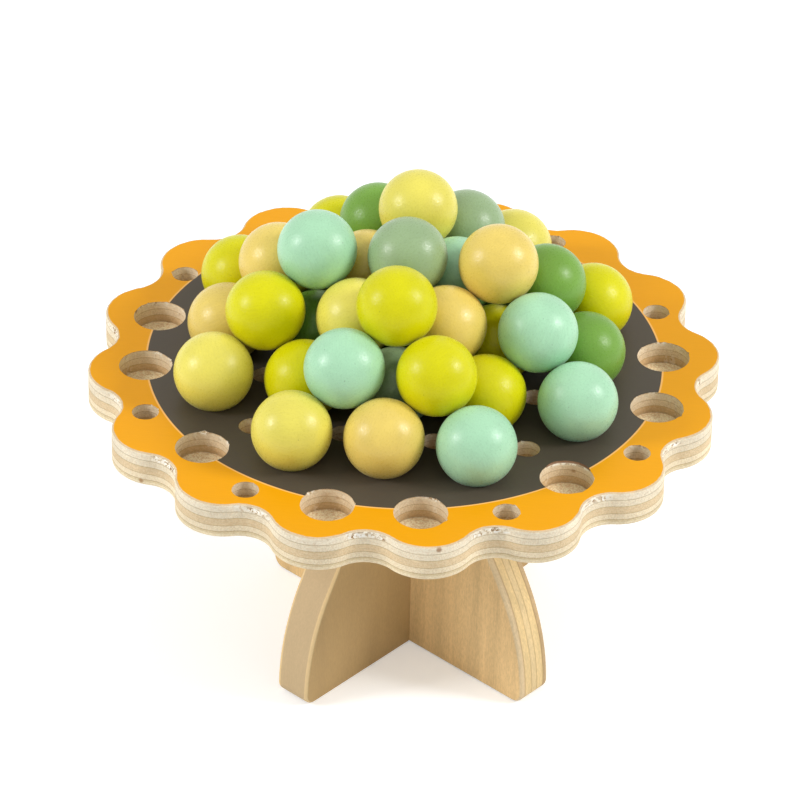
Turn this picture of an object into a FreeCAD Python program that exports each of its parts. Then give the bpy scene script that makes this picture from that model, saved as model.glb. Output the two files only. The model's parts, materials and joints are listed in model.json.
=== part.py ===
import FreeCAD, Part
import math
import os
import Sketcher

# Wooden balance game: a scalloped round board rests on a stand of two halved panels, and round balls are
# stacked on the board in three square layers.
# Frame: origin on the floor under the board's centre, +Z up, X and Y along the rows of balls. Millimetres.

PARTS_FOLDER = "parts"
UP = FreeCAD.Vector(0, 0, 1)

doc = FreeCAD.newDocument("WoodenBalanceGame")

# Driving dimensions, in millimetres, degrees or counts
SIZES = [
    ("ball_dia", 25, "diameter of every ball"),
    ("ball_gap", 3.4, "gap between neighbours in one layer"),
    ("board_thickness", 12, "plywood board"),
    ("rim_width", 43.2, "outermost ball seat's centre to the tip of a lobe"),
    ("lobe_count", 16, "lobes round the board"),
    ("lobe_radius", 15, "round tip of a lobe"),
    ("lobe_depth", 7.8, "tip of a lobe to the bottom of a valley"),
    ("board_edge_round", 0.8, "sanded edges of the board"),
    ("pocket_dia", 16.5, "every ball pocket, in the field and in the rim"),
    ("pocket_depth", 7.5, "every ball pocket"),
    ("peg_hole_dia", 8.3, "every small hole"),
    ("peg_hole_depth", 7.5, "every small hole"),
    ("rim_groups", 4, "times that the rim's group of holes repeats"),
    ("pair_inset", 18.1, "lobe tips to the paired rim pockets"),
    ("pair_angle", 10, "half the angle between paired rim pockets"),
    ("single_inset", 20.5, "lobe tips to the single rim pockets"),
    ("peg_inset", 13.8, "lobe tips to the small rim holes"),
    ("peg_angle", 27.5, "half the angle between small rim holes"),
    ("stand_height", 92, "floor to the underside of the board"),
    ("stand_thickness", 13, "each stand panel"),
    ("foot_width", 110, "stand panel at the floor"),
    ("foot_corner", 4, "rounded lower corners of a stand panel"),
    ("side_radius", 75, "curved sides of a stand panel"),
    ("side_centre_height", 2.4, "height of the centre of a curved side"),
    ("top_width", 30, "stand panel under the board"),
    ("stand_edge_round", 1.2, "sanded edges of a stand panel"),
    ("lap_clearance", 0.15, "play on each side of a halving slot"),
    ("stand_turn", -36, "first panel's direction, from the X axis"),
    ("stand_shift", 3, "how far the stand is from the board's centre"),
]

sheet = doc.addObject("Spreadsheet::Sheet", "Sizes")
for row, (alias, value, meaning) in enumerate(SIZES, start=1):
    sheet.set(f"A{row}", alias)
    sheet.set(f"B{row}", str(value))
    sheet.set(f"C{row}", meaning)
    sheet.setAlias(f"B{row}", alias)
doc.recompute()


def size(alias):
    return float(sheet.get(alias))


# Sizes that follow from the driving ones, as expressions of the sheet
PITCH = "(Sizes.ball_dia + Sizes.ball_gap)"
BOARD_RADIUS = f"(2 * {PITCH} + Sizes.rim_width)"
BOARD_TOP = "(Sizes.stand_height + Sizes.board_thickness)"
# A ball sits on the sharp rim of its pocket, and an upper ball touches the four balls below it
SEAT_RISE = "sqrt((Sizes.ball_dia / 2) ^ 2 - (Sizes.pocket_dia / 2) ^ 2)"
LAYER_RISE = f"sqrt(Sizes.ball_dia ^ 2 - {PITCH} ^ 2 / 2)"


def origin_feature(body, role):
    return next(item for item in body.Origin.OriginFeatures if item.Role == role)


def new_body(name):
    body = doc.addObject("PartDesign::Body", name)
    body.Label = name
    return body


def new_sketch(body, name, plane, height=None):
    sketch = body.newObject("Sketcher::SketchObject", name)
    sketch.AttachmentSupport = (origin_feature(body, plane), [""])
    sketch.MapMode = "FlatFace"
    if height is not None:
        sketch.setExpression("AttachmentOffset.Base.z", height)
    return sketch


def constrain(sketch, kind, *arguments, expression=None):
    index = sketch.addConstraint(Sketcher.Constraint(kind, *arguments))
    if expression is not None:
        sketch.setExpression(f"Constraints[{index}]", expression)
    return index


def cut_circles(body, name, centres, diameter, depth):
    """Blind round holes from the board's upper face. Centres are pairs of expressions."""
    sketch = new_sketch(body, f"{name}_sketch", "XY_Plane", "Sizes.board_thickness")
    start_radius = size(diameter) / 2
    for index, (centre_x, centre_y) in enumerate(centres):
        sketch.addGeometry(Part.Circle(FreeCAD.Vector(0, 0, 0), UP, start_radius), False)
        constrain(sketch, "DistanceX", -1, 1, index, 3, 0.0, expression=centre_x)
        constrain(sketch, "DistanceY", -1, 1, index, 3, 0.0, expression=centre_y)
        constrain(sketch, "Diameter", index, 2 * start_radius, expression=f"Sizes.{diameter}")
    pocket = body.newObject("PartDesign::Pocket", name)
    pocket.Profile = sketch
    pocket.setExpression("Length", f"Sizes.{depth}")
    doc.recompute()
    return pocket


def repeat_round(body, feature, name, count):
    """Copies of a feature evenly round the Z axis."""
    pattern = body.newObject("PartDesign::PolarPattern", name)
    pattern.Originals = [feature]
    pattern.Axis = (origin_feature(body, "Z_Axis"), [""])
    pattern.Angle = 360
    pattern.setExpression("Occurrences", count)
    body.Tip = pattern
    doc.recompute()
    return pattern


def round_edges(body, feature, name, edges, radius):
    fillet = body.newObject("PartDesign::Fillet", name)
    fillet.Base = (feature, edges)
    fillet.setExpression("Radius", f"Sizes.{radius}")
    doc.recompute()
    return fillet


def on_circle(radius, angle):
    """Expressions for a point at a radius and an angle from the X axis."""
    return (f"{radius} * cos({angle})", f"{radius} * sin({angle})")


def grid_steps(count):
    """Positions of count equally spaced rows about the centre, in pitches."""
    return [index - (count - 1) / 2 for index in range(count)]


def square_without_corners(count):
    """Row and column positions of a square of count by count, its four corners left out."""
    last = (count - 1) / 2
    steps = grid_steps(count)
    return [(across, along) for along in steps for across in steps
            if not (abs(across) == last and abs(along) == last)]


def lobe_outline(sketch):
    """One sector of the scalloped outline: two radii, a round tip and half a valley on each side."""
    half_angle = math.pi / size("lobe_count")
    board_radius = 2 * (size("ball_dia") + size("ball_gap")) + size("rim_width")
    tip_radius = size("lobe_radius")
    tip_centre = board_radius - tip_radius
    valley = board_radius - size("lobe_depth")
    # The valley's arc touches the tip's arc, so their centres lie the two radii apart
    reach = tip_centre * math.cos(half_angle)
    valley_radius = (tip_centre ** 2 + valley ** 2 - 2 * valley * reach - tip_radius ** 2) \
        / (2 * (tip_radius - valley + reach))
    valley_centre = FreeCAD.Vector(math.cos(half_angle), math.sin(half_angle), 0) * (valley + valley_radius)
    mirrored_centre = FreeCAD.Vector(valley_centre.x, -valley_centre.y, 0)
    touch = math.atan2(valley_centre.y, valley_centre.x - tip_centre)
    corner = FreeCAD.Vector(math.cos(half_angle), math.sin(half_angle), 0) * valley
    mirrored_corner = FreeCAD.Vector(corner.x, -corner.y, 0)
    centre = FreeCAD.Vector(0, 0, 0)
    sketch.addGeometry(Part.LineSegment(centre, mirrored_corner), False)
    sketch.addGeometry(Part.ArcOfCircle(Part.Circle(mirrored_centre, UP, valley_radius),
                                        math.pi - touch, math.pi - half_angle), False)
    sketch.addGeometry(Part.ArcOfCircle(Part.Circle(FreeCAD.Vector(tip_centre, 0, 0), UP, tip_radius),
                                        -touch, touch), False)
    sketch.addGeometry(Part.ArcOfCircle(Part.Circle(valley_centre, UP, valley_radius),
                                        math.pi + half_angle, math.pi + touch), False)
    sketch.addGeometry(Part.LineSegment(corner, centre), False)
    lower_side, lower_valley, tip, upper_valley, upper_side = range(5)
    constrain(sketch, "Coincident", lower_side, 1, -1, 1)
    constrain(sketch, "Coincident", upper_side, 2, -1, 1)
    constrain(sketch, "Coincident", lower_side, 2, lower_valley, 2)
    constrain(sketch, "Coincident", upper_side, 1, upper_valley, 1)
    constrain(sketch, "Tangent", lower_valley, 1, tip, 1)
    constrain(sketch, "Tangent", tip, 2, upper_valley, 2)
    constrain(sketch, "PointOnObject", tip, 3, -1)
    constrain(sketch, "PointOnObject", lower_valley, 3, lower_side)
    constrain(sketch, "PointOnObject", upper_valley, 3, upper_side)
    constrain(sketch, "Radius", tip, tip_radius, expression="Sizes.lobe_radius")
    constrain(sketch, "DistanceX", -1, 1, tip, 3, tip_centre,
              expression=f"{BOARD_RADIUS} - Sizes.lobe_radius")
    constrain(sketch, "Distance", lower_side, valley, expression=f"{BOARD_RADIUS} - Sizes.lobe_depth")
    constrain(sketch, "Symmetric", lower_side, 2, upper_side, 1, -1)
    constrain(sketch, "Angle", lower_side, -half_angle, expression="-180 deg / Sizes.lobe_count")


def make_board():
    """The scalloped board with its ball pockets and small holes."""
    body = new_body("board")
    sector = new_sketch(body, "sector_sketch", "XY_Plane")
    # Turned by half a lobe, so that the X and Y axes point at valleys
    sector.setExpression("AttachmentOffset.Rotation.Angle", "180 deg / Sizes.lobe_count")
    lobe_outline(sector)
    pad = body.newObject("PartDesign::Pad", "sector")
    pad.Profile = sector
    pad.setExpression("Length", "Sizes.board_thickness")
    doc.recompute()
    disc = repeat_round(body, pad, "scalloped_disc", "Sizes.lobe_count")
    outline_edges = [f"Edge{index}" for index, edge in enumerate(disc.Shape.Edges, start=1)
                     if abs(edge.tangentAt(edge.FirstParameter).z) < 0.5]
    round_edges(body, disc, "sanded_edge", outline_edges, "board_edge_round")

    field_seats = [(f"{across} * {PITCH}", f"{along} * {PITCH}")
                   for across, along in square_without_corners(5)]
    cut_circles(body, "field_pockets", field_seats, "pocket_dia", "pocket_depth")
    field_pegs = [(f"{across} * {PITCH}", f"{along} * {PITCH}")
                  for along in grid_steps(4) for across in grid_steps(4)]
    cut_circles(body, "field_peg_holes", field_pegs, "peg_hole_dia", "peg_hole_depth")

    pair_radius = f"({BOARD_RADIUS} - Sizes.pair_inset)"
    pair = [on_circle(pair_radius, f"{sign} * Sizes.pair_angle") for sign in (-1, 1)]
    pair_pockets = cut_circles(body, "pair_pockets", pair, "pocket_dia", "pocket_depth")
    repeat_round(body, pair_pockets, "pair_pockets_round", "Sizes.rim_groups")

    single = [on_circle(f"({BOARD_RADIUS} - Sizes.single_inset)", "180 / Sizes.rim_groups")]
    single_pocket = cut_circles(body, "single_pocket", single, "pocket_dia", "pocket_depth")
    repeat_round(body, single_pocket, "single_pockets_round", "Sizes.rim_groups")

    peg_radius = f"({BOARD_RADIUS} - Sizes.peg_inset)"
    pegs = [on_circle(peg_radius, f"{sign} * Sizes.peg_angle") for sign in (-1, 1)]
    rim_pegs = cut_circles(body, "rim_peg_holes", pegs, "peg_hole_dia", "peg_hole_depth")
    repeat_round(body, rim_pegs, "rim_peg_holes_round", "Sizes.rim_groups")

    body.setExpression("Placement.Base.z", "Sizes.stand_height")
    return body


def panel_outline(sketch):
    """A stand panel seen from the front: flat foot, rounded lower corners, curved sides that run straight
    up to a narrower top."""
    half_foot = size("foot_width") / 2
    half_top = size("top_width") / 2
    height = size("stand_height")
    corner = size("foot_corner")
    side = size("side_radius")
    side_x = half_foot - side
    side_z = size("side_centre_height")
    # The corner's arc lies inside the side's circle and touches it
    corner_x = side_x + math.sqrt((side - corner) ** 2 - (corner - side_z) ** 2)
    lower_touch = math.atan2(corner - side_z, corner_x - side_x)
    # The straight run is the tangent from the top's corner to the side's circle
    top_distance = math.hypot(half_top - side_x, height - side_z)
    upper_touch = math.atan2(height - side_z, half_top - side_x) - math.acos(side / top_distance)
    touch_x = side_x + side * math.cos(upper_touch)
    touch_z = side_z + side * math.sin(upper_touch)

    def arc(x, z, radius, first, last):
        return Part.ArcOfCircle(Part.Circle(FreeCAD.Vector(x, z, 0), UP, radius), first, last)

    def line(x1, z1, x2, z2):
        return Part.LineSegment(FreeCAD.Vector(x1, z1, 0), FreeCAD.Vector(x2, z2, 0))

    foot, right_corner, right_side, right_run, top, left_run, left_side, left_corner = range(8)
    for piece in (line(-corner_x, 0, corner_x, 0),
                  arc(corner_x, corner, corner, -math.pi / 2, lower_touch),
                  arc(side_x, side_z, side, lower_touch, upper_touch),
                  line(touch_x, touch_z, half_top, height),
                  line(half_top, height, -half_top, height),
                  line(-half_top, height, -touch_x, touch_z),
                  arc(-side_x, side_z, side, math.pi - upper_touch, math.pi - lower_touch),
                  arc(-corner_x, corner, corner, math.pi - lower_touch, 3 * math.pi / 2)):
        sketch.addGeometry(piece, False)
    constrain(sketch, "Tangent", foot, 2, right_corner, 1)
    constrain(sketch, "Tangent", right_corner, 2, right_side, 1)
    constrain(sketch, "Tangent", right_side, 2, right_run, 1)
    constrain(sketch, "Coincident", right_run, 2, top, 1)
    constrain(sketch, "Coincident", top, 2, left_run, 1)
    constrain(sketch, "Tangent", left_run, 2, left_side, 1)
    constrain(sketch, "Tangent", left_side, 2, left_corner, 1)
    constrain(sketch, "Tangent", left_corner, 2, foot, 1)
    constrain(sketch, "PointOnObject", foot, 1, -1)
    constrain(sketch, "PointOnObject", foot, 2, -1)
    constrain(sketch, "Symmetric", top, 1, top, 2, -2)
    for side_arc, sign in ((right_side, 1), (left_side, -1)):
        constrain(sketch, "Radius", side_arc, side, expression="Sizes.side_radius")
        constrain(sketch, "DistanceX", -1, 1, side_arc, 3, sign * side_x,
                  expression=f"{sign} * (Sizes.foot_width / 2 - Sizes.side_radius)")
        constrain(sketch, "DistanceY", -1, 1, side_arc, 3, side_z, expression="Sizes.side_centre_height")
    for corner_arc in (right_corner, left_corner):
        constrain(sketch, "Radius", corner_arc, corner, expression="Sizes.foot_corner")
    constrain(sketch, "DistanceX", top, 2, top, 1, 2 * half_top, expression="Sizes.top_width")
    constrain(sketch, "DistanceY", -1, 1, top, 1, height, expression="Sizes.stand_height")


def make_panel(name, turn, slot_bottom, slot_top):
    """A stand panel with a halving slot from slot_bottom to slot_top, turned about the vertical."""
    body = new_body(name)
    outline = new_sketch(body, f"{name}_outline", "XZ_Plane")
    panel_outline(outline)
    pad = body.newObject("PartDesign::Pad", f"{name}_sheet")
    pad.Profile = outline
    pad.SideType = "Symmetric"
    pad.setExpression("Length", "Sizes.stand_thickness")
    doc.recompute()
    face_edges = [f"Edge{index}" for index, edge in enumerate(pad.Shape.Edges, start=1)
                  if abs(edge.tangentAt(edge.FirstParameter).y) < 0.5]
    rounded = round_edges(body, pad, f"{name}_sanded", face_edges, "stand_edge_round")

    sketch = new_sketch(body, f"{name}_slot_sketch", "XZ_Plane")
    half_slot = size("stand_thickness") / 2 + size("lap_clearance")
    height = size("stand_height")
    points = [FreeCAD.Vector(-half_slot, 0, 0), FreeCAD.Vector(half_slot, 0, 0),
              FreeCAD.Vector(half_slot, height, 0), FreeCAD.Vector(-half_slot, height, 0)]
    for index, point in enumerate(points):
        sketch.addGeometry(Part.LineSegment(point, points[(index + 1) % 4]), False)
    bottom, right, top, left = range(4)
    for first, second in ((bottom, right), (right, top), (top, left), (left, bottom)):
        constrain(sketch, "Coincident", first, 2, second, 1)
    constrain(sketch, "Horizontal", top)
    constrain(sketch, "Vertical", right)
    constrain(sketch, "Vertical", left)
    constrain(sketch, "Symmetric", bottom, 1, bottom, 2, -2)
    constrain(sketch, "DistanceX", bottom, 1, bottom, 2, 2 * half_slot,
              expression="Sizes.stand_thickness + 2 * Sizes.lap_clearance")
    constrain(sketch, "DistanceY", -1, 1, bottom, 1, 0.0, expression=slot_bottom)
    constrain(sketch, "DistanceY", -1, 1, top, 1, height, expression=slot_top)
    slot = body.newObject("PartDesign::Pocket", f"{name}_slot")
    slot.Profile = sketch
    slot.SideType = "Symmetric"
    slot.setExpression("Length", "2 * Sizes.stand_thickness")
    doc.recompute()
    if slot.Shape.Volume >= rounded.Shape.Volume:
        raise RuntimeError(f"{name}: the halving slot cuts nothing")

    body.setExpression("Placement.Rotation.Angle", turn)
    body.setExpression("Placement.Base.x", "Sizes.stand_shift")
    return body


def make_balls():
    """Three square layers of balls, each nested in the one below. The corner balls are left out."""
    balls = []
    for layer, (layer_name, count) in enumerate((("low", 5), ("middle", 4), ("top", 3))):
        for across, along in square_without_corners(count):
            # Rows are counted away from the front, and places in a row from the left
            row_number = int(along + (count - 1) / 2) + 1
            place = int(across + (count - 1) / 2) + 1
            ball = doc.addObject("Part::Sphere", f"ball_{layer_name}_{row_number}{place}")
            ball.Label = f"ball_{layer_name}_{row_number}{place}"
            ball.setExpression("Radius", "Sizes.ball_dia / 2")
            ball.setExpression("Placement.Base.x", f"{across} * {PITCH}")
            ball.setExpression("Placement.Base.y", f"{along} * {PITCH}")
            ball.setExpression("Placement.Base.z",
                               f"{BOARD_TOP} + {SEAT_RISE} + {layer} * {LAYER_RISE}")
            balls.append(ball)
    return balls


HALF_HEIGHT = "Sizes.stand_height / 2"
PAST_TOP = "Sizes.stand_height + Sizes.stand_thickness"
PAST_FOOT = "-Sizes.stand_thickness"
pieces = [make_board(),
          make_panel("stand_panel_lower", "Sizes.stand_turn", HALF_HEIGHT, PAST_TOP),
          make_panel("stand_panel_upper", "Sizes.stand_turn + 90", PAST_FOOT, HALF_HEIGHT)]
pieces += make_balls()
doc.recompute()

for item in doc.Objects:
    if "Invalid" in item.State or "Error" in item.State:
        raise RuntimeError(f"{item.Name} did not build: {item.State}")
for piece in pieces:
    if piece.Shape.isNull() or not piece.Shape.isValid() or len(piece.Shape.Solids) != 1:
        raise RuntimeError(f"{piece.Label} is not one valid solid")

os.makedirs(PARTS_FOLDER, exist_ok=True)
for piece in pieces:
    piece.Shape.exportStep(f"{PARTS_FOLDER}/{piece.Label}.step")
    box = piece.Shape.BoundBox
    print(f"{piece.Label}: {piece.Shape.Volume:.1f} mm3, x {box.XMin:.2f}..{box.XMax:.2f}, "
          f"y {box.YMin:.2f}..{box.YMax:.2f}, z {box.ZMin:.2f}..{box.ZMax:.2f}")
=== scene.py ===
"""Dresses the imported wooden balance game: a painted scalloped board with routed pockets, a crossed plywood
stand, painted wooden balls, and a plain studio stage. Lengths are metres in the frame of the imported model."""

import json
import math

import bpy
import numpy as np
from bpy.props import FloatProperty, FloatVectorProperty, IntProperty, PointerProperty
from mathutils import Matrix, Vector
from mathutils.geometry import delaunay_2d_cdt


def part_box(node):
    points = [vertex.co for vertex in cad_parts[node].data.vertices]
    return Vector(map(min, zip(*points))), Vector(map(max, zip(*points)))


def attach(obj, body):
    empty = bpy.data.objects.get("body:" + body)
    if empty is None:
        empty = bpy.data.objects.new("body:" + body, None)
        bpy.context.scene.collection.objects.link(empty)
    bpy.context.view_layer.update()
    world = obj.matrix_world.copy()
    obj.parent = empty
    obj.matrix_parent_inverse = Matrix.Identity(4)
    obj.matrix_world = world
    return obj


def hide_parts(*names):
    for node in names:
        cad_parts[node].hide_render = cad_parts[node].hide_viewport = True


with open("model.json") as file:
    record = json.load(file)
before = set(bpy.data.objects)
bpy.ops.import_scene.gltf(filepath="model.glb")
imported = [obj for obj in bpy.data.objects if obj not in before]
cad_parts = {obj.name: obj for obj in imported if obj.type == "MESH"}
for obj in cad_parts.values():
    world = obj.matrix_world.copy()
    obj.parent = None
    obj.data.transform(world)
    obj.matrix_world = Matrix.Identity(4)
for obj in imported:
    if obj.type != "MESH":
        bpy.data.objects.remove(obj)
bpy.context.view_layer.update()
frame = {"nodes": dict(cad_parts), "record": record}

bl_info = {
    "name": "Wooden balance game",
    "version": (1, 0, 0),
    "blender": (4, 5, 0),
    "location": "View3D > Sidebar > Balance game",
    "description": "Builds the painted board, the plywood stand and the wooden balls round a packed model",
    "category": "Add Mesh",
}

MM = 0.001
BODY = "root"
RECORD = frame["record"]
SLOT_OF_NODE = {part["node"]: part["material_slot"] for part in RECORD["subparts"]}
BALL_NODES = sorted(node for node in frame["nodes"] if node.startswith("ball_"))
LOW_BALLS = [node for node in BALL_NODES if node.startswith("ball_low_")]
OPENINGS = RECORD["physics"]["openings"]
SPLIT_POCKET = "rim_pocket_12"
STAND_CENTRE = next(mount["pos_m"] for mount in RECORD["mounts"] if mount["kind"] == "flat_face")
BOARD_LOW, BOARD_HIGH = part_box("board")
BALL_LOW, BALL_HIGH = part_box("ball_low_33")
BALL_RADIUS = (BALL_HIGH.z - BALL_LOW.z) / 2

# Seeds of the random wear: the board's, and the first ball's
BOARD_SEED = 16
BALL_SEED = 100
# Grid of the board's edge: steps round a lobe's tip and round a valley, rows round each rounded edge, and
# rows down the side, closer in the torn upper ply, and how deep that ply's foot lies
TIP_STEPS = 60
VALLEY_STEPS = 33
ROUND_ROWS = 6
UPPER_ROWS = 6
LOWER_ROWS = 9
UPPER_PLY = 2.9 * MM
# How far the edge wanders, is nicked and is sanded, how far soft plies wear back, and how many there are
EDGE_WANDER = 0.07 * MM
EDGE_NICKS = 0.05 * MM
EDGE_SANDING = 0.02 * MM
PLY_WEAR = 0.06 * MM
SOFT_PLIES = 2.5
# Torn fibres begin and end between these depths, in patches about this many steps wide
TEAR_TOP = (0.3 * MM, 0.6 * MM)
TEAR_FOOT = (2.3 * MM, 2.85 * MM)
PATCH_STEPS = 34
# A hole's rough rim, the relief of its wall, how far down its chips reach, and the fuzz on its floor
RIM_ROUGHNESS = 0.03 * MM
WALL_RELIEF = 0.05 * MM
CHIP_REACH = 0.9 * MM
FLOOR_FUZZ = 0.05 * MM
# Directions of the chips, their scatter, widths in radians, and sizes as shares of the deepest tear
CHIP_DIRECTION = math.pi / 3
CHIP_SCATTER = 0.9
CHIP_WIDTHS = (0.04, 0.16)
CHIP_SIZES = (0.2, 0.9)
# The split's direction, half its spread, and how deep the dark brown under it goes, partly painted shade under
# the lifted veneer
SPLIT_DIRECTION = math.pi / 2
SPLIT_SPREAD = math.radians(55)
SPLIT_FOOT = 0.5 * MM
# Rings of a hole: depths of those near the rim; first depth, last height above the floor and number of those
# below; and shares of the radius of those on the floor
RIM_RINGS = [0, 0.12 * MM, 0.35 * MM, 0.7 * MM, 1.1 * MM]
WALL_RINGS = (1.8 * MM, 0.25 * MM, 5)
FLOOR_RINGS = np.array([[0.95], [0.75], [0.5], [0.22]])
# Levels of the attribute "inside", which is 0 on the board's edge: the dark brown under the split, partly
# painted shade, and from a wall's top to its foot, with 1 on the floor
SPLIT_BROWN = 0.12
WALL_TOP = 0.35
WALL_FOOT = 0.8
# Points round a hole: seats under the balls, holes between them, open seats, and small holes in the rim
SEAT_SIDES = 56
BETWEEN_SIDES = 40
OPEN_SIDES = 112
RIM_SIDES = 64
# Small knocks of a ball, their sizes as shares of the deepest, and widths in radians
DENTS = 5
DENT_SIZES = (0.3, 1.0)
DENT_WIDTHS = (0.03, 0.07)
# Gloss of a paint: the least, how it grows with the paint's blue, the blue where that stops, and the sheen as
# a share of it. The most saturated paints take less of the white studio's reflection.
LEAST_GLOSS = 0.26
GLOSS_PER_BLUE = 1.3
BLUE_LIMIT = 0.13
SHEEN_SHARE = 0.25
SENSOR_WIDTH = 36

# Plies of the board, from the painted face down: (depth of the lower side, colour). Dark lines are glue. A
# ply's colour begins to change PLY_BLEND before its side.
BOARD_PLIES = [(0.35 * MM, "E3CDA8"), (2.6 * MM, "F6EAD0"), (2.85 * MM, "CDBC9A"), (4.9 * MM, "F2E5C9"),
               (5.15 * MM, "CDB890"), (7.6 * MM, "E7D0A8"), (7.8 * MM, "CBB48A"), (9.65 * MM, "F4E4C3"),
               (9.9 * MM, "C9B288"), (10.6 * MM, "E6D4AC"), (12.0 * MM, "F5E4C0")]
PLY_BLEND = 0.06 * MM
# Tint inside a hole by the level of the attribute "inside": (level, colour, share). Under the split it is dark
# brown, partly painted shade. Down the walls the tint is painted shade and warm bounce light, browner and
# darker with depth and darkest in the corner, and the floor is pale and fuzzy.
HOLE_TINT = [(0.0, "7E5236", 0.0), (0.05, "7E5236", 0.85), (0.2, "7E5236", 0.85), (0.3, "DCB274", 0.12),
             (0.5, "DCB274", 0.22), (0.7, "B58C55", 0.35), (0.82, "94703E", 0.5), (0.97, "FFF2CC", 0.9)]
# Where the fibres turn: (depth of the upper side, black for fibres along X and white for fibres along Y)
PLY_TURNS = [(0.0, "000000"), (2.75 * MM, "FFFFFF"), (5.05 * MM, "000000"), (7.7 * MM, "FFFFFF"),
             (9.8 * MM, "000000")]
# How far the print's edge and the pale line's edge blend, and how far below the face the coat ends
PRINT_BLEND = 0.05 * MM
BORDER_BLEND = 0.2 * MM
COAT_EDGE = 0.02 * MM
# Edges of the stand's panels, from one face to the other: (share of the thickness, colour)
STRIPED_EDGE = [(0.0, "DCC49A"), (0.14, "D6BC92"), (0.17, "BC9B6C"), (0.20, "E9CB92"), (0.38, "E8CA90"),
                (0.405, "C7A673"), (0.43, "E2C794"), (0.57, "E4C994"), (0.595, "C2A06D"), (0.62, "EACD95"),
                (0.80, "E8CA90"), (0.825, "A98857"), (0.85, "C9AA7C"), (1.0, "CBAE82")]
# The upper panel's pale bands near both faces are sanded wood and a painted highlight along the rounded edges
PLAIN_EDGE = [(0.0, "E6C994"), (0.08, "E3C591"), (0.1, "C4AA81"), (0.9, "C4AA81"), (0.92, "E3C591"),
              (1.0, "E6C994")]


def linear(code, alpha=1.0):
    """The linear colour of an sRGB hex code: ((c + 0.055) / 1.055)^2.4, or c / 12.92 near black."""
    channels = [int(code[start:start + 2], 16) / 255 for start in (0, 2, 4)]
    return tuple(c / 12.92 if c <= 0.04045 else ((c + 0.055) / 1.055) ** 2.4 for c in channels) + (alpha,)


def length(name, description, metres):
    """A length setting, in metres."""
    return FloatProperty(name=name, description=description, default=metres, min=0.0, unit="LENGTH",
                         subtype="DISTANCE", precision=5)


def angle(name, description, degrees):
    """An angle setting, given in degrees and kept in radians."""
    return FloatProperty(name=name, description=description, default=math.radians(degrees), unit="ROTATION",
                         subtype="ANGLE")


def power(name, description, watts):
    """A lamp's power setting, in watts."""
    return FloatProperty(name=name, description=description, default=watts, min=0.0, unit="POWER")


def colour(name, description, code):
    """A colour setting, given as an sRGB hex code and kept linear."""
    return FloatVectorProperty(name=name, description=description, default=linear(code), size=4, min=0.0,
                               max=1.0, subtype="COLOR")


class BoardSettings(bpy.types.PropertyGroup):
    """Sizes and colours of the scalloped board."""
    lobe_count: IntProperty(name="Lobes", description="Lobes round the board", default=16, min=3)
    lobe_radius: length("Lobe radius", "Round tip of a lobe", 15 * MM)
    lobe_depth: length("Lobe depth", "Tip of a lobe to the bottom of a valley", 7.8 * MM)
    edge_round: length("Edge round", "Sanded edges of the board", 0.8 * MM)
    pocket_radius: length("Pocket radius", "Seats for the balls", 8.25 * MM)
    pocket_depth: length("Pocket depth", "Seats for the balls", 7.5 * MM)
    hole_radius: length("Hole radius", "Small holes", 4.15 * MM)
    hole_depth: length("Hole depth", "Small holes", 7.5 * MM)
    tear_depth: length("Tear-out", "Usual depth of torn fibres at the edges", 0.55 * MM)
    split_depth: length("Split", "Veneer split off behind the front right pocket", 0.9 * MM)
    print_radius: length("Print radius", "Dark round print on the face", 81.2 * MM)
    print_shift: FloatVectorProperty(
        name="Print shift", description="How far the print lies off the board's centre",
        default=(-0.33 * MM, 1.45 * MM), size=2, unit="LENGTH", subtype="XYZ", precision=5)
    border_width: length("Border line", "Pale line where the print meets the rim's paint", 0.45 * MM)
    rim_colour: colour("Rim paint", "Orange paint of the rim", "E89F00")
    print_colour: colour("Print", "Brown-black round print", "4F473C")
    border_colour: colour("Border", "Pale line round the print", "F7BC6A")


class StandSettings(bpy.types.PropertyGroup):
    """Place and colours of the crossed stand."""
    turn: angle("Turn", "Direction of the lower panel from the X axis", -36)
    thickness: length("Thickness", "Each stand panel", 13 * MM)
    grained_colour: colour("Grained face", "Warm face of the lower panel", "E9C58B")
    smooth_colour: colour("Smooth face", "Beige face of the upper panel", "B89966")


class BallSettings(bpy.types.PropertyGroup):
    """Meshes, wear and colours of the turned balls."""
    rings: IntProperty(name="Rings", description="Rows of faces from pole to pole", default=48, min=8)
    segments: IntProperty(name="Segments", description="Faces round a ball", default=88, min=8)
    unevenness: length("Unevenness", "How far turning and sanding leave the ball from round", 0.05 * MM)
    dent_depth: length("Dents", "Depth of the small knocks", 0.09 * MM)
    lime: colour("Lime", "Lime paint", "D6D100")
    pale_yellow: colour("Pale yellow", "Pale yellow paint", "E3D75C")
    peach: colour("Peach", "Peach yellow paint", "E6CB66")
    mint: colour("Mint", "Mint paint", "A8D8B2")
    sage: colour("Sage", "Grey green paint", "93AD80")
    green: colour("Green", "Leaf green paint", "729F3C")


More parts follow.
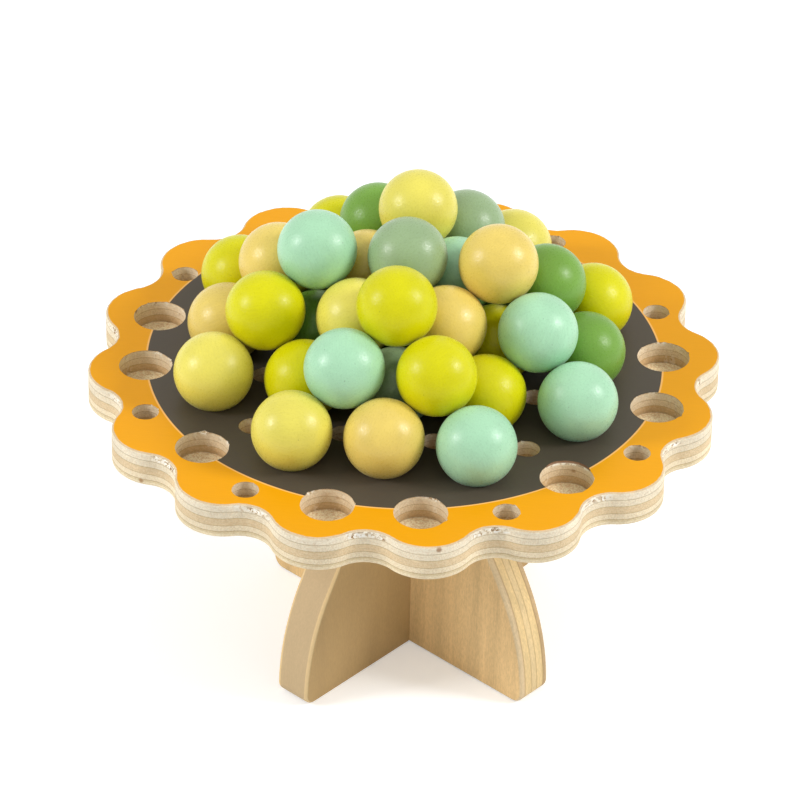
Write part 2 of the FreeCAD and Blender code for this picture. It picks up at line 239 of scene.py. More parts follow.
class StageSettings(bpy.types.PropertyGroup):
    """Camera, lamps and floor of the studio."""
    view_azimuth: angle("Azimuth", "Direction of the view, from +Y towards +X", -6.035)
    view_elevation: angle("Elevation", "How far the camera looks down", 34.388)
    view_roll: angle("Roll", "Right side of the camera lifted", 1.317)
    view_distance: length("Distance", "Camera to the aim point", 1507.5 * MM)
    aim: FloatVectorProperty(name="Aim", description="Point that the camera looks at",
                             default=(-1.36 * MM, -0.14 * MM, 89.06 * MM), size=3, unit="LENGTH",
                             subtype="TRANSLATION", precision=5)
    lens: FloatProperty(name="Lens", description="Focal length in millimetres on a 36 mm sensor",
                        default=213.75, unit="CAMERA")
    fill: FloatProperty(name="Fill", description="Light of the white surroundings", default=0.56, min=0.0)
    floor_size: length("Floor", "Side of the square floor", 12.0)
    lamp_distance: length("Lamp distance", "Lamps to the middle of the object", 1.5)
    lamp_size: length("Softbox", "Side of the square softboxes", 0.42)
    left_power: power("Left lamp", "Softbox at the left", 10.7)
    right_power: power("Right lamp", "Softbox at the right", 13.2)
    top_power: power("Top lamp", "Large soft lamp above", 1.5)
    top_size: length("Top lamp size", "Side of the square lamp above", 1.6)
    floor_colour: colour("Floor colour", "White sweep", "EFF2F6")


def smooth_noise(rng, shape, spread):
    """Seeded noise on a grid, wrapped round both ways: white noise whose spectrum is multiplied by a
    Gaussian, so that features are about spread samples wide. Scaled to a mean of 0 and a deviation of 1."""
    spectrum = np.fft.fft2(rng.standard_normal(shape))
    for axis, width in enumerate(spread):
        frequency = np.fft.fftfreq(shape[axis])
        bell = np.exp(-2 * (math.pi * frequency * width) ** 2)
        spectrum = spectrum * (bell[:, None] if axis == 0 else bell[None, :])
    noise = np.fft.ifft2(spectrum).real
    noise -= noise.mean()
    return noise / noise.std()


def smooth_step(low, high, values):
    """0 below low, 1 above high, and 3t^2 - 2t^3 between."""
    t = np.clip((values - low) / (high - low), 0, 1)
    return t * t * (3 - 2 * t)


def ring_faces(first, rows, columns):
    """Quads between rows of columns points each, closed round the columns. first is the first point's number,
    and faces look away from the axis when rows run downwards and columns run anticlockwise."""
    row, column = np.meshgrid(np.arange(rows - 1), np.arange(columns), indexing="ij")
    across = (column + 1) % columns
    corners = (row * columns + column, (row + 1) * columns + column,
               (row + 1) * columns + across, row * columns + across)
    return first + np.stack(corners, axis=-1).reshape(-1, 4)


def fan_faces(ring, centre, upwards):
    """Triangles from a closed ring of point numbers to a centre."""
    following = np.roll(ring, -1)
    middle = np.full_like(ring, centre)
    return np.stack((ring, following, middle) if upwards else (following, ring, middle), axis=-1)


def flat_faces(rings, points, holes, upwards):
    """Triangles that fill the first ring, about the origin, and leave out the others, from a constrained
    triangulation. Rings are star-shaped, so a triangle is inside one where its middle lies nearer to the
    ring's centre than the ring does in that direction. holes is a list of (centre, angles, radii)."""
    numbers = np.concatenate(rings)
    edges = []
    start = 0
    for ring in rings:
        here = np.arange(start, start + len(ring))
        edges.append(np.stack((here, np.roll(here, -1)), axis=-1))
        start += len(ring)
    made = delaunay_2d_cdt(points[numbers, :2].tolist(), np.concatenate(edges).tolist(), [], 1, 1e-9, True)
    origins = numbers[[origin[0] for origin in made[3]]]
    faces = origins[np.array(made[2])]
    middles = points[faces, :2].mean(axis=1)
    outer = points[rings[0], :2]
    turned = np.mod(np.arctan2(middles[:, 1], middles[:, 0]), 2 * math.pi)
    around = np.mod(np.arctan2(outer[:, 1], outer[:, 0]), 2 * math.pi)
    reach = np.interp(turned, around, np.hypot(outer[:, 0], outer[:, 1]), period=2 * math.pi)
    keep = np.hypot(middles[:, 0], middles[:, 1]) < reach
    for centre, angles, radii in holes:
        away = middles - centre
        turned = np.mod(np.arctan2(away[:, 1], away[:, 0]), 2 * math.pi)
        keep &= np.hypot(away[:, 0], away[:, 1]) > np.interp(turned, angles, radii, period=2 * math.pi)
    faces = faces[keep]
    a, b, c = (points[faces[:, corner], :2] for corner in range(3))
    ahead = (b[:, 0] - a[:, 0]) * (c[:, 1] - a[:, 1]) - (b[:, 1] - a[:, 1]) * (c[:, 0] - a[:, 0])
    wrong = (ahead > 0) != upwards
    faces[wrong] = faces[wrong][:, ::-1]
    return faces


def new_piece(name, points, quads, triangles, flat_triangles=()):
    """A mesh object at the origin, from arrays of points, quads, triangles and triangles shaded flat."""
    parts = [np.asarray(part) for part in (quads, triangles, flat_triangles) if len(part)]
    corners = np.concatenate([part.ravel() for part in parts]).astype(np.int32)
    counts = np.concatenate([np.full(len(part), part.shape[1]) for part in parts])
    smooth = np.ones(len(counts), bool)
    if len(flat_triangles):
        smooth[-len(flat_triangles):] = False
    mesh = bpy.data.meshes.new(name)
    mesh.vertices.add(len(points))
    mesh.vertices.foreach_set("co", points.astype(np.float32).ravel())
    mesh.loops.add(len(corners))
    mesh.loops.foreach_set("vertex_index", corners)
    mesh.polygons.add(len(counts))
    mesh.polygons.foreach_set("loop_start", np.concatenate(([0], np.cumsum(counts)[:-1])).astype(np.int32))
    mesh.polygons.foreach_set("use_smooth", smooth)
    mesh.update(calc_edges=True)
    if mesh.validate():
        raise RuntimeError(f"{name}: the mesh has faulty faces")
    piece = bpy.data.objects.new(name, mesh)
    bpy.context.scene.collection.objects.link(piece)
    return piece


def fill_sockets(tree, node, inputs):
    """Fills a node's sockets, by name or number, with values or with links from other sockets."""
    for key, value in inputs.items():
        if isinstance(value, bpy.types.NodeSocket):
            tree.links.new(value, node.inputs[key])
        else:
            node.inputs[key].default_value = value


def add_node(tree, kind, inputs=None, stops=None, **settings):
    """Adds a node, sets its settings and fills its sockets. stops are (place, hex code) of a colour ramp, or
    (place, hex code, alpha)."""
    made = tree.nodes.new(kind)
    for key, value in settings.items():
        setattr(made, key, value)
    fill_sockets(tree, made, inputs or {})
    if stops:
        elements = made.color_ramp.elements
        while len(elements) < len(stops):
            elements.new(1.0)
        for element, (place, *shade) in zip(elements, stops):
            element.position = place
            element.color = linear(*shade)
    return made


def new_material(name):
    """A node material, its tree and its Principled shader."""
    material = bpy.data.materials.new(name)
    material.use_nodes = True
    tree = material.node_tree
    tree.nodes.clear()
    shader = add_node(tree, "ShaderNodeBsdfPrincipled")
    add_node(tree, "ShaderNodeOutputMaterial", {"Surface": shader.outputs["BSDF"]})
    return material, tree, shader


def ply_stops(plies, thickness, blend):
    """Ramp stops for plies: each colour holds from blend past the last boundary to blend before its own."""
    stops = []
    upper = 0.0
    for lower, code in plies:
        soft = min(blend, (lower - upper) / 3)
        stops += [((upper + soft) / thickness, code), ((lower - soft) / thickness, code)]
        upper = lower
    return stops


def shaded(tree, base, shades):
    """A colour times the product of a list of brightnesses."""
    total = shades[0]
    for shade in shades[1:]:
        total = add_node(tree, "ShaderNodeMath", {0: total, 1: shade}, operation="MULTIPLY").outputs[0]
    return add_node(tree, "ShaderNodeMix", {
        0: 1.0, 6: base, 7: total}, data_type="RGBA", blend_type="MULTIPLY").outputs[2]


def board_material(settings):
    """Birch plywood, routed and sanded: cream and tan plies with dark glue lines, fuzzy where fibres are cut
    across. Its face carries a thin satin screen-printed coat in two colours, and grain just shows through."""
    material, tree, shader = new_material("painted_birch_plywood")
    place = add_node(tree, "ShaderNodeTexCoord").outputs["Object"]
    axes = add_node(tree, "ShaderNodeSeparateXYZ", {0: place})
    thickness = BOARD_HIGH.z - BOARD_LOW.z
    top = BOARD_HIGH.z

    # Depth below the face, as a share of the thickness, with plies that wander by about 0.1 mm
    wander = add_node(tree, "ShaderNodeTexNoise", {"Vector": place, "Scale": 45.0, "Detail": 2.0})
    below = add_node(tree, "ShaderNodeMapRange", {
        "Value": axes.outputs["Z"], "From Min": top, "From Max": top - thickness}, clamp=False)
    wave = add_node(tree, "ShaderNodeMapRange", {
        "Value": wander.outputs["Fac"], "To Min": -0.012, "To Max": 0.012})
    level = add_node(tree, "ShaderNodeMath", {0: below.outputs[0], 1: wave.outputs[0]}, operation="ADD")
    plies = add_node(tree, "ShaderNodeValToRGB", {"Fac": level.outputs[0]},
                     stops=ply_stops(BOARD_PLIES, thickness, PLY_BLEND))

    # Fibres: 0.4 mm wide and 8 mm long, along X in the odd plies and along Y in the even ones
    fibres = []
    for long_axis in (0, 1):
        scale = [1 / (0.4 * MM)] * 3
        scale[long_axis] = 1 / (8 * MM)
        stretched = add_node(tree, "ShaderNodeMapping", {"Vector": place, "Scale": scale})
        fibres.append(add_node(tree, "ShaderNodeTexNoise", {
            "Vector": stretched.outputs[0], "Scale": 1.0, "Detail": 3.0, "Roughness": 0.6}))
    crossing = add_node(tree, "ShaderNodeValToRGB", {"Fac": level.outputs[0]},
                        stops=[(depth / thickness, code) for depth, code in PLY_TURNS])
    crossing.color_ramp.interpolation = "CONSTANT"
    fibre = add_node(tree, "ShaderNodeMix", {
        0: crossing.outputs["Color"], 2: fibres[0].outputs["Fac"], 3: fibres[1].outputs["Fac"]},
        data_type="FLOAT")
    fibre_shade = add_node(tree, "ShaderNodeMapRange", {
        "Value": fibre.outputs[0], "From Min": 0.25, "From Max": 0.75, "To Min": 0.84, "To Max": 1.09})
    # Cut fibre ends: grains about 0.5 mm apart, browner on the floors of the holes
    grains = add_node(tree, "ShaderNodeTexNoise", {
        "Vector": place, "Scale": 1 / (0.55 * MM), "Detail": 2.0, "Roughness": 0.7})
    inside = add_node(tree, "ShaderNodeAttribute", attribute_name="inside")
    strength = add_node(tree, "ShaderNodeMapRange", {
        "Value": inside.outputs["Fac"], "From Min": 0.8, "To Min": 0.2, "To Max": 0.55})
    grain_share = add_node(tree, "ShaderNodeMapRange", {
        "Value": grains.outputs["Fac"], "From Min": 0.42, "From Max": 0.56, "To Min": strength.outputs[0],
        "To Max": 0.0})
    # Painted shade and warm bounce light down the walls of the holes, darkest in each corner, and dark brown
    # under the split
    tint = add_node(tree, "ShaderNodeValToRGB", {"Fac": inside.outputs["Fac"]}, stops=HOLE_TINT)
    warm = add_node(tree, "ShaderNodeMix", {
        0: tint.outputs["Alpha"], 6: plies.outputs["Color"], 7: tint.outputs["Color"]}, data_type="RGBA")
    aged = add_node(tree, "ShaderNodeMix", {
        0: grain_share.outputs[0], 6: warm.outputs[2], 7: linear("D2A56E")}, data_type="RGBA",
        blend_type="MULTIPLY")
    stain = add_node(tree, "ShaderNodeTexNoise", {"Vector": place, "Scale": 90.0, "Detail": 3.0})
    stain_shade = add_node(tree, "ShaderNodeMapRange", {
        "Value": stain.outputs["Fac"], "From Min": 0.3, "From Max": 0.7, "To Min": 0.88, "To Max": 1.05})
    wood = shaded(tree, aged.outputs[2], [fibre_shade.outputs[0], stain_shade.outputs[0]])
    # Pin knots, 1 to 2 mm across and one or two to a hand's width of edge
    pins = add_node(tree, "ShaderNodeTexVoronoi", {"Vector": place, "Scale": 1 / (14 * MM)})
    pin_share = add_node(tree, "ShaderNodeMapRange", {
        "Value": pins.outputs["Distance"], "From Min": 0.04, "From Max": 0.08, "To Min": 0.75,
        "To Max": 0.0})
    knotty = add_node(tree, "ShaderNodeMix", {
        0: pin_share.outputs[0], 6: wood, 7: linear("9A6B3F")}, data_type="RGBA")
    # Torn places: tufts of raw white fibre, about 0.5 mm across, with brown pits between them
    torn = add_node(tree, "ShaderNodeAttribute", attribute_name="torn")
    tufts = add_node(tree, "ShaderNodeTexNoise", {
        "Vector": place, "Scale": 1 / (1.05 * MM), "Detail": 2.0, "Roughness": 0.6})
    tuft = add_node(tree, "ShaderNodeValToRGB", {"Fac": tufts.outputs["Fac"]},
                    stops=[(0.4, "8A6238"), (0.47, "DCC49A"), (0.52, "FFFBF0")])
    torn_share = add_node(tree, "ShaderNodeMapRange", {
        "Value": torn.outputs["Fac"], "From Min": 0.05, "From Max": 0.45, "To Max": 0.95})
    bare = add_node(tree, "ShaderNodeMix", {
        0: torn_share.outputs[0], 6: knotty.outputs[2], 7: tuft.outputs["Color"]}, data_type="RGBA")

    # Print: distance from its centre decides between the dark disc, the pale line and the rim's paint
    from_print = add_node(tree, "ShaderNodeVectorMath", {
        0: place, 1: (settings.print_shift[0], settings.print_shift[1], 0.0)}, operation="SUBTRACT")
    flat = add_node(tree, "ShaderNodeVectorMath", {
        0: from_print.outputs[0], 1: (1.0, 1.0, 0.0)}, operation="MULTIPLY")
    radius = add_node(tree, "ShaderNodeVectorMath", {0: flat.outputs[0]}, operation="LENGTH")
    outside = add_node(tree, "ShaderNodeMapRange", {
        "Value": radius.outputs["Value"], "From Min": settings.print_radius - PRINT_BLEND,
        "From Max": settings.print_radius + PRINT_BLEND})
    past_border = add_node(tree, "ShaderNodeMapRange", {
        "Value": radius.outputs["Value"], "From Min": settings.print_radius + settings.border_width,
        "From Max": settings.print_radius + settings.border_width + BORDER_BLEND})
    rim = add_node(tree, "ShaderNodeMix", {
        0: past_border.outputs[0], 6: settings.border_colour, 7: settings.rim_colour}, data_type="RGBA")
    paint = add_node(tree, "ShaderNodeMix", {
        0: outside.outputs[0], 6: settings.print_colour, 7: rim.outputs[2]}, data_type="RGBA")
    paint_shade = add_node(tree, "ShaderNodeMapRange", {
        "Value": fibres[0].outputs["Fac"], "From Min": 0.3, "From Max": 0.7, "To Min": 0.98,
        "To Max": 1.02})
    coat = shaded(tree, paint.outputs[2], [paint_shade.outputs[0]])

    # The coat lies on the flat face only
    painted = add_node(tree, "ShaderNodeMath", {
        0: axes.outputs["Z"], 1: top - COAT_EDGE}, operation="GREATER_THAN")
    base = add_node(tree, "ShaderNodeMix", {
        0: painted.outputs[0], 6: bare.outputs[2], 7: coat}, data_type="RGBA")
    rough = add_node(tree, "ShaderNodeMapRange", {
        "Value": painted.outputs[0], "To Min": 0.85, "To Max": 0.42})
    height = add_node(tree, "ShaderNodeMapRange", {
        "Value": painted.outputs[0], "To Min": 0.7, "To Max": 0.06})
    relief = add_node(tree, "ShaderNodeMath", {
        0: fibre.outputs[0], 1: grains.outputs["Fac"]}, operation="ADD")
    bump = add_node(tree, "ShaderNodeBump", {
        "Height": relief.outputs[0], "Strength": height.outputs[0], "Distance": 0.15 * MM})
    fill_sockets(tree, shader, {
        "Base Color": base.outputs[2], "Roughness": rough.outputs[0], "Normal": bump.outputs["Normal"],
        "Specular IOR Level": 0.2})
    return material


def scalloped_outline(settings):
    """Points and outward normals round the board. A lobe's tip is an arc of lobe_radius about a centre that
    lies lobe_radius inside the board's radius R, and a valley is an arc that touches two tips. With the tip's
    centre at c and the valley's bottom at v, the valley's radius is
    (c^2 + v^2 - 2 v c cos(a) - r^2) / (2 (r - v + c cos(a))), where a is half a lobe's angle."""
    half = math.pi / settings.lobe_count
    tip = settings.lobe_radius
    centre = (BOARD_HIGH.x - tip) / math.cos(half)
    valley = centre + tip - settings.lobe_depth
    reach = centre * math.cos(half)
    hollow = (centre ** 2 + valley ** 2 - 2 * valley * reach - tip ** 2) / (2 * (tip - valley + reach))
    away = valley + hollow
    touch = math.atan2(away * math.sin(half), away * math.cos(half) - centre)
    on_tip = np.linspace(-touch, touch, TIP_STEPS, endpoint=False)
    on_valley = np.linspace(math.pi + touch, math.pi + 2 * half - touch, VALLEY_STEPS, endpoint=False)
    tip_normals = np.stack((np.cos(on_tip), np.sin(on_tip)), axis=-1)
    valley_normals = -np.stack((np.cos(on_valley), np.sin(on_valley)), axis=-1)
    tip_points = tip * tip_normals + (centre, 0)
    valley_points = -hollow * valley_normals + away * np.array((math.cos(half), math.sin(half)))
    points = np.concatenate((tip_points, valley_points))
    normals = np.concatenate((tip_normals, valley_normals))
    # 1 at the bottom of a valley, falling to 0 on the tips
    in_valley = np.concatenate((np.zeros(TIP_STEPS), np.sin(np.linspace(0, math.pi, VALLEY_STEPS))))
    turns = half + 2 * half * np.arange(settings.lobe_count)
    cos, sin = np.cos(turns), np.sin(turns)
    turning = np.stack((np.stack((cos, sin), axis=-1), np.stack((-sin, cos), axis=-1)), axis=1)
    points = np.einsum("pi,kij->kpj", points, turning).reshape(-1, 2)
    normals = np.einsum("pi,kij->kpj", normals, turning).reshape(-1, 2)
    return points, normals, np.tile(in_valley, settings.lobe_count)


def edge_band(settings, rng):
    """The board's edge as rings from the face down. A ring lies a distance in from the outline: e (1 - sin t)
    at depth e (1 - cos t) round the upper edge, 0 down the side, and mirrored below. Torn fibres, sanding and
    softer plies take it further in."""
    thickness = BOARD_HIGH.z - BOARD_LOW.z
    points, normals, in_valley = scalloped_outline(settings)
    count = len(points)
    corner = np.linspace(0, math.pi / 2, ROUND_ROWS)
    upper_in = settings.edge_round * (1 - np.sin(corner))
    upper_down = settings.edge_round * (1 - np.cos(corner))
    side_foot = thickness - settings.edge_round
    side_down = np.concatenate((np.linspace(settings.edge_round, UPPER_PLY, UPPER_ROWS + 1)[1:],
                                np.linspace(UPPER_PLY, side_foot, LOWER_ROWS + 2)[1:-1]))
    inward = np.concatenate((upper_in, np.zeros(len(side_down)), upper_in[::-1]))
    down = np.concatenate((upper_down, side_down, thickness - upper_down[::-1]))
    rows = len(down)
    wander = EDGE_WANDER * smooth_noise(rng, (1, count), (0, 6))[0]
    wander += EDGE_NICKS * smooth_noise(rng, (1, count), (0, 1))[0]
    nicked = np.clip(1 - down / settings.edge_round, 0, 1)[:, None] * np.abs(wander)[None, :]
    sanding = EDGE_SANDING * np.abs(smooth_noise(rng, (rows, count), (1.5, 12)))
    worn = PLY_WEAR * (0.5 - 0.5 * np.cos(2 * math.pi * SOFT_PLIES * down / thickness))[:, None]
    patches = smooth_step(-0.2, 1.4, smooth_noise(rng, (1, count), (0, PATCH_STEPS))[0])
    fibres = smooth_step(0.0, 1.5, smooth_noise(rng, (rows, count), (0.9, 1.1)))
    upper_ply = smooth_step(*TEAR_TOP, down) * (1 - smooth_step(*TEAR_FOOT, down))
    torn = upper_ply[:, None] * (in_valley ** 0.35 * (0.55 + 0.9 * patches) + 0.3 * patches)[None, :]
    side = smooth_step(0, settings.edge_round, down) * smooth_step(0, settings.edge_round, thickness - down)
    depth = inward[:, None] + nicked + side[:, None] * (sanding + worn)
    depth = depth + settings.tear_depth * torn * fibres
    flat = points[None, :, :] - depth[:, :, None] * normals[None, :, :]
    heights = np.broadcast_to((BOARD_HIGH.z - down)[:, None, None], (rows, count, 1))
    return np.concatenate((flat, heights), axis=2), np.minimum(torn * (0.4 + 0.6 * fibres), 1)


def torn_rim(settings, rng, angles, chips):
    """How far a hole's rim is chipped outwards at each angle: a little all round, and chips of Gaussian
    shape, more of them on the far side, where the cutter lifted the veneer."""
    count = len(angles)
    rim = RIM_ROUGHNESS * np.abs(smooth_noise(rng, (1, count), (0, 1.0))[0])
    roughness = 0.4 + 0.6 * np.abs(smooth_noise(rng, (1, count), (0, 0.7))[0])
    for _ in range(chips):
        where = rng.normal(CHIP_DIRECTION, CHIP_SCATTER)
        width = rng.uniform(*CHIP_WIDTHS)
        apart = np.mod(angles - where + math.pi, 2 * math.pi) - math.pi
        rim += settings.tear_depth * rng.uniform(*CHIP_SIZES) * roughness * np.exp(-(apart / width) ** 2)
    return rim


def routed_hole(settings, rng, centre, radius, depth, columns, chips, split):
    """Rings of a blind hole from its rim down and in to the middle of its floor, the rim's polar outline, and
    how torn each point is and how far inside, from 0 to 1. The wall's radius at depth d is
    r + chip (1 - s(d / CHIP_REACH)) + relief, with s a smooth step. The floor rises in fuzz, by the square of
    the share of the radius. split is how far the veneer has split off, and the chip grows there by
    split (1 - (a / SPLIT_SPREAD)^2)^0.5, where a is the angle from SPLIT_DIRECTION."""
    angles = np.linspace(0, 2 * math.pi, columns, endpoint=False)
    chip = torn_rim(settings, rng, angles, chips)
    scar = np.sqrt(np.clip(1 - ((angles - SPLIT_DIRECTION) / SPLIT_SPREAD) ** 2, 0, 1)) * (split > 0)
    chip = chip + split * scar
    lower, above_floor, number = WALL_RINGS
    wall = np.concatenate((RIM_RINGS, np.linspace(lower, depth - above_floor, number), [depth]))
    relief = WALL_RELIEF * np.abs(smooth_noise(rng, (len(wall), columns), (1.0, 2.0)))
    relief[0] = relief[-1] = 0
    chipped = (1 - smooth_step(0, CHIP_REACH, wall))[:, None] * chip[None, :]
    wall_radius = radius + chipped + relief
    floor_radius = np.broadcast_to(radius * FLOOR_RINGS, (len(FLOOR_RINGS), columns))
    uneven = np.abs(smooth_noise(rng, floor_radius.shape, (1, 2)))
    floor_depth = depth - FLOOR_FUZZ * FLOOR_RINGS ** 2 * uneven
    radii = np.concatenate((wall_radius, floor_radius))
    down = np.concatenate((np.broadcast_to(wall[:, None], wall_radius.shape), floor_depth))
    rings = np.stack((centre[0] + radii * np.cos(angles), centre[1] + radii * np.sin(angles),
                      BOARD_HIGH.z - down), axis=-1)
    torn = np.zeros_like(radii)
    tears = smooth_step(0.4, 1.8, smooth_noise(rng, (len(wall), columns), (0.8, 1.0)))
    torn[:len(wall)] = 0.15 * tears + chipped / (0.6 * settings.tear_depth)
    inside = np.ones_like(radii)
    inside[:len(wall)] = WALL_TOP + (WALL_FOOT - WALL_TOP) * (wall / depth)[:, None]
    # Dark brown under the split: partly the wood's own colour, partly painted shade under the lifted veneer
    under_split = (scar > 0.2)[None, :] & (wall < SPLIT_FOOT)[:, None]
    inside[:len(wall)][under_split] = SPLIT_BROWN
    torn[:len(wall)][under_split] = 0
    return rings, (np.array(centre), angles, wall_radius[0]), np.clip(torn, 0, 0.3), inside


def hole_layout(settings):
    """Every hole as (centre, radius, depth, columns, chips, split): ball seats under the low balls, small
    holes midway between four seats, and the rim's empty seats and small holes."""
    seats = [(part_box(node)[0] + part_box(node)[1]) / 2 for node in LOW_BALLS]
    rows = sorted({round(seat.x, 5) for seat in seats})
    between = [(first + second) / 2 for first, second in zip(rows, rows[1:])]
    pocket = (settings.pocket_radius, settings.pocket_depth)
    small = (settings.hole_radius, settings.hole_depth)
    layout = [((seat.x, seat.y), *pocket, SEAT_SIDES, 1, 0.0) for seat in seats]
    layout += [((x, y), *small, BETWEEN_SIDES, 1, 0.0) for y in between for x in between]
    for opening in OPENINGS:
        low, high = opening["box_m"]
        middle = ((low[0] + high[0]) / 2, (low[1] + high[1]) / 2)
        if opening["name"].startswith("rim_pocket"):
            split = settings.split_depth if opening["name"] == SPLIT_POCKET else 0.0
            layout.append((middle, *pocket, OPEN_SIDES, 4, split))
        elif opening["name"].startswith("rim_hole"):
            layout.append((middle, *small, RIM_SIDES, 2, 0.0))
    return layout


def routed_board(settings):
    """The board as one closed surface: edge rings, a face with every hole's rim, holes, and the underside."""
    rng = np.random.default_rng(BOARD_SEED)
    band, torn = edge_band(settings, rng)
    rows, columns = band.shape[:2]
    points = [band.reshape(-1, 3)]
    wear = {"torn": [torn.ravel()], "inside": [np.zeros(torn.size)]}
    quads = [ring_faces(0, rows, columns)]
    fans = []
    rims = [np.arange(columns)]
    outlines = []
    start = rows * columns
    for centre, radius, depth, sides, chips, split in hole_layout(settings):
        rings, outline, torn, inside = routed_hole(settings, rng, centre, radius, depth, sides, chips, split)
        count = len(rings) * sides
        middle = [[centre[0], centre[1], BOARD_HIGH.z - depth]]
        points += [rings.reshape(-1, 3), np.array(middle)]
        wear["torn"] += [torn.ravel(), [0.0]]
        wear["inside"] += [inside.ravel(), [1.0]]
        # The walls of a hole face its axis
        quads.append(ring_faces(start, len(rings), sides)[:, ::-1])
        fans.append(fan_faces(np.arange(start + count - sides, start + count), start + count, True))
        rims.append(np.arange(start, start + sides))
        outlines.append(outline)
        start += count + 1
    points = np.concatenate(points)
    face = flat_faces(rims, points, outlines, True)
    underside = flat_faces([np.arange((rows - 1) * columns, rows * columns)], points, [], False)
    board = new_piece("routed_board", points, np.concatenate(quads), np.concatenate(fans),
                      np.concatenate((face, underside)))
    for name, values in wear.items():
        layer = board.data.attributes.new(name, "FLOAT", "POINT")
        layer.data.foreach_set("value", np.concatenate(values).astype(np.float32))
    return board


class BALANCE_OT_board(bpy.types.Operator):
    """Build the painted scalloped board with its routed pockets"""
    bl_idname = "balance_game.board"
    bl_label = "Board"

    def execute(self, context):
        settings = context.scene.balance_board
        board = routed_board(settings)
        board.data.materials.append(board_material(settings))
        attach(board, BODY)
        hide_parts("board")
        return {"FINISHED"}


def stand_material(name, settings, turn, face, figure, plies):
    """Bare sanded plywood: long upright fibres on the faces, broad soft figure, and plies across the edges,
    which are paler where sanding has rounded them; on the upper panel that pale band is also a painted
    highlight along the rounded edges."""
    material, tree, shader = new_material(name)
    coordinates = add_node(tree, "ShaderNodeTexCoord")
    # The panel's own millimetres: X along it, Y through its thickness, Z up
    local = add_node(tree, "ShaderNodeMapping", {
        "Vector": coordinates.outputs["Object"], "Location": STAND_CENTRE, "Rotation": (0.0, 0.0, turn),
        "Scale": (MM, MM, MM)}, vector_type="TEXTURE")
    axes = add_node(tree, "ShaderNodeSeparateXYZ", {0: local.outputs[0]})
    # Fibres 0.5 mm wide and 20 mm long, figure 9 mm wide and 150 mm long, and pores and sanding marks 0.5 mm
    # wide and 1.5 mm long: (scale, noise settings, half the range of the noise, darkest, brightest)
    patterns = (
        ((2.0, 2.0, 0.05), {"Detail": 4.0, "Roughness": 0.65}, 0.2, 1 - 0.5 * figure, 1 + 0.25 * figure),
        ((0.11, 0.11, 0.0067), {"Detail": 2.0, "Distortion": 0.4}, 0.2, 1 - figure, 1 + 0.4 * figure),
        ((1.8, 1.8, 0.6), {"Detail": 3.0, "Roughness": 0.7}, 0.15, 0.97 - 0.4 * figure, 1.02 + 0.2 * figure),
    )
    noises = []
    shades = []
    for scale, look, half, dark, bright in patterns:
        stretched = add_node(tree, "ShaderNodeMapping", {"Vector": local.outputs[0], "Scale": scale})
        noise = add_node(tree, "ShaderNodeTexNoise", {"Vector": stretched.outputs[0], "Scale": 1.0, **look})
        shade = add_node(tree, "ShaderNodeMapRange", {
            "Value": noise.outputs["Fac"], "From Min": 0.5 - half, "From Max": 0.5 + half, "To Min": dark,
            "To Max": bright})
        noises.append(noise.outputs["Fac"])
        shades.append(shade.outputs[0])
    fibre, band, _ = noises
    # The plies drift with the figure
    drift = add_node(tree, "ShaderNodeMath", {0: band, 1: 0.9, 2: -0.45}, operation="MULTIPLY_ADD")
    place = add_node(tree, "ShaderNodeMath", {0: axes.outputs["Y"], 1: drift.outputs[0]}, operation="ADD")
    across = add_node(tree, "ShaderNodeMapRange", {
        "Value": place.outputs[0], "From Min": -settings.thickness / 2 / MM,
        "From Max": settings.thickness / 2 / MM})
    edge = add_node(tree, "ShaderNodeValToRGB", {"Fac": across.outputs[0]}, stops=plies)
    facing = add_node(tree, "ShaderNodeVectorMath", {
        0: coordinates.outputs["Normal"], 1: (-math.sin(turn), math.cos(turn), 0.0)},
        operation="DOT_PRODUCT")
    facing = add_node(tree, "ShaderNodeMath", {0: facing.outputs["Value"]}, operation="ABSOLUTE")
    on_face = add_node(tree, "ShaderNodeMapRange", {
        "Value": facing.outputs[0], "From Min": 0.75, "From Max": 0.99}, interpolation_type="SMOOTHSTEP")
    bare = add_node(tree, "ShaderNodeMix", {
        0: on_face.outputs[0], 6: edge.outputs["Color"], 7: face}, data_type="RGBA")
    base = shaded(tree, bare.outputs[2], shades)
    bump = add_node(tree, "ShaderNodeBump", {"Height": fibre, "Strength": 0.35, "Distance": 0.08 * MM})
    fill_sockets(tree, shader, {"Base Color": base, "Normal": bump.outputs["Normal"], "Roughness": 0.62})
    return material


class BALANCE_OT_stand(bpy.types.Operator):
    """Finish the two crossed panels of the stand"""
    bl_idname = "balance_game.stand"
    bl_label = "Stand"

    def execute(self, context):
        settings = context.scene.balance_stand
        looks = {
            "stand_panel_lower": stand_material("grained_plywood", settings, settings.turn,
                                                settings.grained_colour, 0.2, STRIPED_EDGE),
            "stand_panel_upper": stand_material("smooth_plywood", settings, settings.turn + math.pi / 2,
                                                settings.smooth_colour, 0.05, PLAIN_EDGE),
        }
        for node, look in looks.items():
            frame["nodes"][node].material_slots[0].material = look
        return {"FINISHED"}


